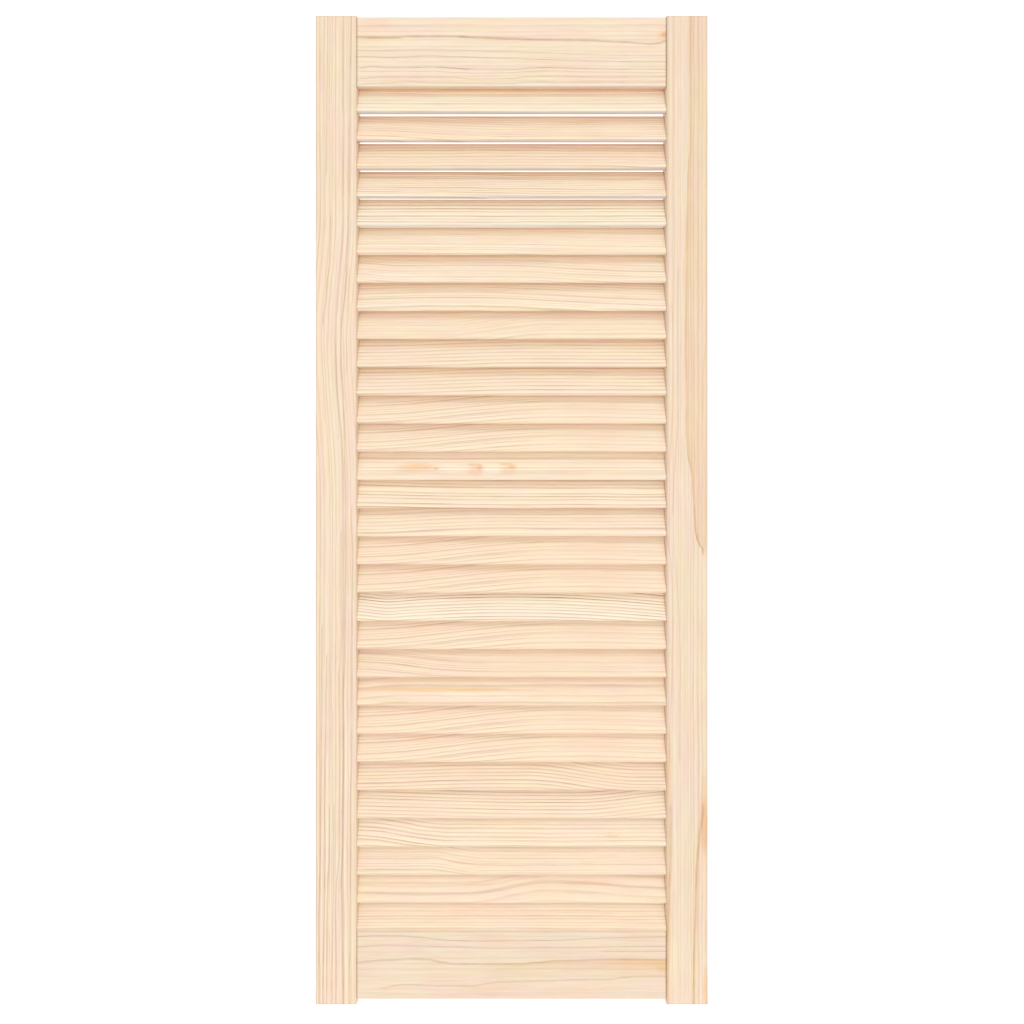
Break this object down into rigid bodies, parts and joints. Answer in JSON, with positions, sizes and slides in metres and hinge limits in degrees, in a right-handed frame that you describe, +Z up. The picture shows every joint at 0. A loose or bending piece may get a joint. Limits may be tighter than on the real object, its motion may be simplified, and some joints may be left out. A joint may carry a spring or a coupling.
{
  "type": "louvred cabinet door",
  "caption": "Louvred cabinet door in bare pine: stiles and rails, dowelled at the corners, around a stack of fixed slanting slats housed in the stiles.",
  "frame": {"origin": "centre of the bottom of the door's box: midway across its width and its thickness, at the level of the stiles' feet", "axes": "+X to the right seen from the front, +Y from the front face to the back face, +Z up"},
  "size_m": [0.394, 0.021, 0.993],
  "materials": {
    "stile_pine": "sanded bare pine, grain along Z",
    "rail_pine": "sanded bare pine, grain along X",
    "slat_pine": "planed bare pine, grain along X",
    "dowel_beech": "turned bare beech, hidden in its bore"
  },
  "bodies": {
    "root": {"left_stile": "stile_pine", "right_stile": "stile_pine", "top_rail": "rail_pine", "bottom_rail": "rail_pine", "slat_01": "slat_pine", "slat_02": "slat_pine", "slat_03": "slat_pine", "slat_04": "slat_pine", "slat_05": "slat_pine", "slat_06": "slat_pine", "slat_07": "slat_pine", "slat_08": "slat_pine", "slat_09": "slat_pine", "slat_10": "slat_pine", "slat_11": "slat_pine", "slat_12": "slat_pine", "slat_13": "slat_pine", "slat_14": "slat_pine", "slat_15": "slat_pine", "slat_16": "slat_pine", "slat_17": "slat_pine", "slat_18": "slat_pine", "slat_19": "slat_pine", "slat_20": "slat_pine", "slat_21": "slat_pine", "slat_22": "slat_pine", "slat_23": "slat_pine", "slat_24": "slat_pine", "slat_25": "slat_pine", "slat_26": "slat_pine", "slat_27": "slat_pine", "slat_28": "slat_pine", "slat_29": "slat_pine", "slat_30": "slat_pine", "dowel_top_left_upper": "dowel_beech", "dowel_top_left_lower": "dowel_beech", "dowel_top_right_upper": "dowel_beech", "dowel_top_right_lower": "dowel_beech", "dowel_bottom_left_upper": "dowel_beech", "dowel_bottom_left_lower": "dowel_beech", "dowel_bottom_right_upper": "dowel_beech", "dowel_bottom_right_lower": "dowel_beech"}
  },
  "joints": []
}
